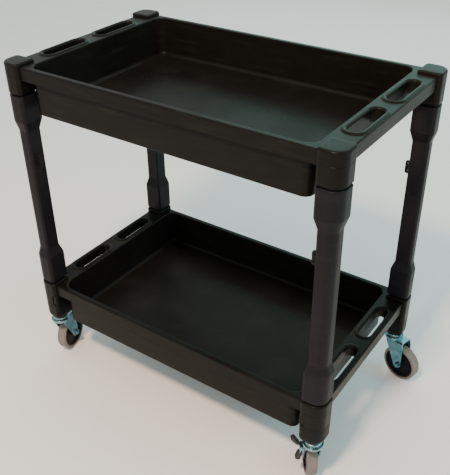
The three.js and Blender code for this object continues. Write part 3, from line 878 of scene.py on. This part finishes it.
def brake_ears():
    """The two ears that hold the brake's pin, and the window its tongue reaches through."""
    x, y, z = BRAKE_PIVOT
    ears = []
    for side in (-1, 1):
        middle = x + side * (BRAKE_HALF_WIDTH + 1.65 * MM)
        outline = plain_path([(FORK_OUTER - 1 * MM, z - 6 * MM, 0), (y + 4.6 * MM, z - 5 * MM, 4.5 * MM),
                              (y + 4.6 * MM, z + 5 * MM, 4.5 * MM), (FORK_OUTER - 1 * MM, z + 6 * MM, 0)],
                             0, closed=True)
        ears.append(plate("ear", outline, "X", middle - 1.2 * MM, middle + 1.2 * MM))
    left, right, foot, head = x - 4.5 * MM, x + 4.5 * MM, z - 12 * MM, z + 1 * MM
    outline = plain_path([(left, foot), (right, foot), (right, head), (left, head)], 1.5 * MM, closed=True)
    return ears, plate("window", outline, "Y", 13 * MM, 21 * MM)


def make_fork(name, braked):
    fork = plate(name, fork_end_outline(), "X", -40 * MM, 60 * MM)
    combine(fork, [plate("side", fork_side_outline(), "Y", -30 * MM, 30 * MM)], "INTERSECT")
    combine(fork, [plate("plan", fork_plan_outline(), "Z", 20 * MM, 130 * MM)], "INTERSECT")
    dish = turned("dish", plain_path([
        (0, CROWN_Z, 0), (CROWN_RADIUS, CROWN_Z, 2.4 * MM), (CROWN_RADIUS, CROWN_TOP + 4.5 * MM, 1.1 * MM),
        (CROWN_RADIUS - 2.4 * MM, CROWN_TOP + 4.5 * MM, 1.1 * MM),
        (CROWN_RADIUS - 2.4 * MM, CROWN_TOP, 1.5 * MM),
        (0, CROWN_TOP, 0)], 0.5 * MM), 64)
    combine(fork, [dish], "UNION")
    cutters = []
    if braked:
        ears, window = brake_ears()
        combine(fork, ears, "UNION")
        cutters.append(window)
    bore = [(0, 100 * MM), (5.6 * MM, 100 * MM), (5.6 * MM, 125 * MM), (0, 125 * MM)]
    cutters.append(turned("bore", bore, 32))
    combine(fork, cutters, "DIFFERENCE")
    smooth(soften_edges(fork, 0.35 * MM, 2, 50), 40)
    return fork


def make_tread(name):
    inner = WHEEL_RADIUS - TREAD_THICK + 0.2 * MM
    half = WHEEL_HALF_WIDTH
    path = plain_path([
        (inner, -half + 0.3 * MM, 0.4 * MM), (WHEEL_RADIUS - 2.6 * MM, -half, 1 * MM),
        (WHEEL_RADIUS, -half + 2.6 * MM, 3 * MM), (WHEEL_RADIUS, half - 2.6 * MM, 3 * MM),
        (WHEEL_RADIUS - 2.6 * MM, half, 1 * MM), (inner, half - 0.3 * MM, 0.4 * MM),
    ], 0, steps=5, closed=True)
    tread = turned(name, path, 128, "Y")
    tread.data.transform(Matrix.Translation(AXLE))
    return smooth(tread, 50)


def make_wheel_core(name):
    """Moulded wheel: a long hub, a recessed web with raised rings, and an outer rim."""
    rim = WHEEL_RADIUS - TREAD_THICK - 0.1 * MM
    half = WHEEL_HALF_WIDTH - 0.8 * MM
    hub = FORK_INNER - 1.6 * MM
    web = half - 3.2 * MM
    upper = [(6.4 * MM, hub, 0.4 * MM), (10.5 * MM, hub, 0.8 * MM), (12.2 * MM, web, 2 * MM)]
    for radius, rise in ((20 * MM, 0.9 * MM), (28.5 * MM, 1.6 * MM)):
        upper += [(radius, web, 0.5 * MM), (radius + 0.6 * MM, web + rise, 0.5 * MM),
                  (radius + 2.2 * MM, web + rise, 0.5 * MM), (radius + 2.8 * MM, web, 0.5 * MM)]
    upper += [(33.5 * MM, web, 1.5 * MM), (35 * MM, half, 1 * MM), (rim, half, 0.3 * MM)]
    lower = [(r, -y, f) for r, y, f in reversed(upper)]
    core = turned(name, plain_path(upper + lower, 0, steps=4, closed=True), 96, "Y")
    core.data.transform(Matrix.Translation(AXLE))
    return smooth(core, 40)


def make_axle_bolt(name):
    # The outline is along -Y after turning, so heights are negated for the +Y side.
    bolt = turned(name, plain_path([
        (0, -FORK_OUTER - 4.6 * MM, 0), (2.6 * MM, -FORK_OUTER - 4.6 * MM, 0.4 * MM),
        (5.8 * MM, -FORK_OUTER - 3.2 * MM, 1.4 * MM), (6.4 * MM, -FORK_OUTER - 0.3 * MM, 0.3 * MM),
        (4.0 * MM, -FORK_OUTER - 0.3 * MM, 0), (4.0 * MM, FORK_OUTER + 6.4 * MM, 0.6 * MM),
        (0, FORK_OUTER + 6.4 * MM, 0)], 0), 40, "Y")
    bolt.data.transform(Matrix.Translation(AXLE))
    return smooth(bolt, 40)


def make_axle_nut(name):
    nut = turned(name, [(0, FORK_OUTER + 0.3 * MM), (7 * MM, FORK_OUTER + 0.3 * MM),
                        (7 * MM, FORK_OUTER + 5.9 * MM), (0, FORK_OUTER + 5.9 * MM)], 6, "Y")
    rounding = turned("rounding", plain_path([
        (0, FORK_OUTER - 1 * MM, 0), (6.9 * MM, FORK_OUTER - 1 * MM, 0),
        (6.9 * MM, FORK_OUTER + 4.6 * MM, 0.4 * MM),
        (5.2 * MM, FORK_OUTER + 6.0 * MM, 0.8 * MM), (0, FORK_OUTER + 6.0 * MM, 0)], 0), 48, "Y")
    combine(nut, [rounding], "INTERSECT")
    hole = turned("hole", [(0, 0), (4.15 * MM, 0), (4.15 * MM, 40 * MM), (0, 40 * MM)], 32, "Y")
    combine(nut, [hole], "DIFFERENCE")
    nut.data.transform(Matrix.Translation(AXLE))
    return smooth(nut, 30)


def make_bush(name):
    half = FORK_INNER - 0.4 * MM
    sleeve = [(4.5 * MM, -half), (6 * MM, -half), (6 * MM, half), (4.5 * MM, half)]
    path = plain_path(sleeve, 0.3 * MM, closed=True)
    bush = turned(name, path, 40, "Y")
    bush.data.transform(Matrix.Translation(AXLE))
    return smooth(bush, 40)


# ---------------------------------------------------------------- brakes
def bar_outline(tip, start, end, thick_start, thick_end):
    """A bar's (y, z) outline along the line from the pivot to a tip, between two distances."""
    _, y, z = BRAKE_PIVOT
    along = Vector(tip).normalized()
    across = Vector((-along.y, along.x)) / 2
    pivot = Vector((y, z))
    corners = (pivot + along * start - across * thick_start, pivot + along * end - across * thick_end,
               pivot + along * end + across * thick_end, pivot + along * start + across * thick_start)
    return [tuple(corner) for corner in corners]


def lever_bar(tip, half_width, start, end, thick_start=LEVER_THICK, thick_end=LEVER_THICK):
    x = BRAKE_PIVOT[0]
    outline = bar_outline(tip, start, end, thick_start, thick_end)
    return plate("bar", outline, "X", x - half_width, x + half_width)


def make_lever(name):
    """The rocker: a hub with a bar to each pedal and a tongue towards the tread."""
    lever = turned(name, [(0, -BRAKE_HALF_WIDTH), (4.4 * MM, -BRAKE_HALF_WIDTH), (4.4 * MM, BRAKE_HALF_WIDTH),
                          (0, BRAKE_HALF_WIDTH)], 32, "X")
    lever.data.transform(Matrix.Translation(BRAKE_PIVOT))
    for tip, half_width in ((UPPER_TIP, 5.7 * MM), (LOWER_TIP, 5.5 * MM), (TONGUE_TIP, 3.4 * MM)):
        combine(lever, [lever_bar(tip, half_width, 0, Vector(tip).length)], "UNION")
    hole = turned("hole", [(0, -20 * MM), (2.6 * MM, -20 * MM), (2.6 * MM, 20 * MM), (0, 20 * MM)], 24, "X")
    hole.data.transform(Matrix.Translation(BRAKE_PIVOT))
    combine(lever, [hole], "DIFFERENCE")
    return smooth(soften_edges(lever, 0.5 * MM, 3, 40), 40)


def make_brake_pin(name):
    half = BRAKE_HALF_WIDTH + 4 * MM
    path = plain_path([(0, -half, 0), (3.6 * MM, -half, 0.8 * MM), (3.6 * MM, -half + 1 * MM, 0.2 * MM),
                       (2.5 * MM, -half + 1 * MM, 0), (2.5 * MM, half, 0.5 * MM), (0, half, 0)], 0)
    pin = turned(name, path, 32, "X")
    pin.data.transform(Matrix.Translation(BRAKE_PIVOT))
    return smooth(pin, 40)


def make_pedal(name, place):
    """A chunky rubber cover over one end of the lever, thickest at its end."""
    tip, reach, thick_start, thick_end = PEDALS[place]
    length = Vector(tip).length
    cover = lever_bar(tip, 7 * MM, length - reach, length + 2 * MM, thick_start, thick_end)
    cover.name = name
    soften_edges(cover, 3 * MM, 6, 40)
    pocket = lever_bar(tip, 5.8 * MM, length - reach - 2 * MM, length + 0.1 * MM, 2.8 * MM, 2.8 * MM)
    combine(cover, [pocket], "DIFFERENCE")
    return smooth(cover, 40)


def pedal_ribs(name, place, material):
    """Raised ribs across a pedal's outer face, set along it by a geometry tree."""
    tip, reach, thick_start, thick_end = PEDALS[place]
    sizes = [("Count", "NodeSocketInt"), ("Spacing", "NodeSocketFloat"), ("Rib Size", "NodeSocketVector")]
    tree, start = new_tree("pedal ribs", sizes)
    nodes, links = tree.nodes, tree.links
    line = nodes.new("GeometryNodeMeshLine")
    links.new(start.outputs["Count"], line.inputs["Count"])
    step = nodes.new("ShaderNodeCombineXYZ")
    links.new(start.outputs["Spacing"], step.inputs["X"])
    links.new(step.outputs["Vector"], line.inputs["Offset"])
    rib = nodes.new("GeometryNodeMeshCylinder")
    rib.inputs["Vertices"].default_value = 12
    size = nodes.new("ShaderNodeSeparateXYZ")
    links.new(start.outputs["Rib Size"], size.inputs["Vector"])
    links.new(size.outputs["X"], rib.inputs["Radius"])
    links.new(size.outputs["Y"], rib.inputs["Depth"])
    copies = nodes.new("GeometryNodeInstanceOnPoints")
    copies.inputs["Rotation"].default_value = (math.pi / 2, 0, 0)
    links.new(line.outputs["Mesh"], copies.inputs["Points"])
    links.new(rib.outputs["Mesh"], copies.inputs["Instance"])
    end_tree(tree, start, copies.outputs["Instances"])
    ribs = run_tree(name, tree, {"Count": 4, "Spacing": 3.2 * MM, "Rib Size": Vector((0.7 * MM, 8.6 * MM, 0)),
                                 "Finish": material})
    along = Vector((0, *tip)).normalized()
    side = 1 if tip[1] > 0 else -1
    out = side * Vector((0, along.z, -along.y))
    slope = Matrix.Rotation(-math.atan2((thick_end - thick_start) / 2, reach), 4, "Y")
    first = 4.5 * MM
    height = thick_start / 2 + (thick_end - thick_start) / 2 * first / reach
    base = Vector(BRAKE_PIVOT) + along * (Vector(tip).length - reach + first) + out * height
    turn = Matrix((along, out.cross(along), out)).transposed().to_4x4()
    ribs.data.transform(Matrix.Translation(base) @ turn @ slope)
    return ribs


def make_caster(corner, placing, finishes):
    swivel, wheel, brake = f"swivel_{corner}", f"wheel_{corner}", f"brake_{corner}"
    braked = brake in frame["bodies"]
    zinc, steel = finishes["zinc"], finishes["steel"]
    seat(make_stem(f"stem_{corner}"), placing, zinc, ROOT, "zinc_plate", f"caster_stem_{corner}")
    seat(make_race(f"race_{corner}"), placing, zinc, swivel, "zinc_plate", f"swivel_bearing_{corner}")
    balls = run_tree(f"race_balls_{corner}", finishes["ball_tree"], {
        "Count": 16, "Ring Radius": 15.2 * MM, "Height": (CROWN_TOP + CAP_Z) / 2, "Ball Radius": 2.0 * MM,
        "Finish": steel})
    balls.data.shade_smooth()
    seat(balls, placing, steel, swivel, "zinc_plate")
    seat(make_fork(f"fork_pressing_{corner}", braked), placing, zinc, swivel, "zinc_plate", f"fork_{corner}")
    seat(make_axle_bolt(f"axle_{corner}"), placing, zinc, swivel, "zinc_plate", f"axle_bolt_{corner}")
    seat(make_axle_nut(f"locknut_{corner}"), placing, zinc, swivel, "zinc_plate", f"axle_nut_{corner}")
    seat(make_bush(f"sleeve_{corner}"), placing, steel, swivel, "bush_steel", f"hub_bush_{corner}")
    core = make_wheel_core(f"wheel_{corner}_core")
    seat(core, placing, finishes["core"], wheel, "wheel_core_plastic", f"wheel_core_{corner}")
    seat(make_tread(f"tyre_{corner}"), placing, finishes["tread"], wheel, "tread_rubber", f"tread_{corner}")
    if not braked:
        return
    seat(make_lever(f"lever_{corner}"), placing, zinc, brake, "zinc_plate", f"brake_lever_{corner}")
    seat(make_brake_pin(f"lever_pin_{corner}"), placing, zinc, swivel, "zinc_plate", f"brake_pin_{corner}")
    for place in PEDALS:
        pedal = make_pedal(f"pedal_{place}_{corner}", place)
        seat(pedal, placing, finishes["pedal"], brake, "pedal_rubber", f"brake_pedal_{place}_{corner}")
        ribs = pedal_ribs(f"pedal_ribs_{place}_{corner}", place, finishes["pedal"])
        seat(ribs, placing, finishes["pedal"], brake, "pedal_rubber")


# ---------------------------------------------------------------- assembly
add_camera()
tray_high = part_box("top_tray")[1]
TRAY_HALF = (tray_high.x, tray_high.y)
CORNER = (TRAY_HALF[0] - BLOCK_SIDE / 2, TRAY_HALF[1] - BLOCK_SIDE / 2)
add_studio()

tray_plastic = moulded_plastic("tray plastic", (0.0062, 0.0055, 0.0044), (0.024, 0.022, 0.018))
leg_plastic = moulded_plastic("leg plastic", (0.0095, 0.0085, 0.0105), (0.026, 0.024, 0.028), 0.4)
foot_plastic = moulded_plastic("foot plastic", (0.0065, 0.0065, 0.006), (0.022, 0.022, 0.02), 0.4)
caster_finishes = {
    "zinc": zinc_plate(),
    "steel": dark_steel(),
    "tread": tread_rubber(),
    "core": moulded_plastic("wheel plastic", (0.005, 0.005, 0.0065), (0.016, 0.016, 0.019), 0.35, 0.3),
    "pedal": black_rubber(),
    "ball_tree": ball_ring_tree("race balls"),
}

make_tray("top_tray", tray_plastic, has_upper_sockets=False)
make_tray("bottom_tray", tray_plastic, has_upper_sockets=True)
for corner, placing in caster_places().items():
    make_leg(corner, leg_plastic)
    make_foot(corner, foot_plastic)
    make_caster(corner, placing, caster_finishes)
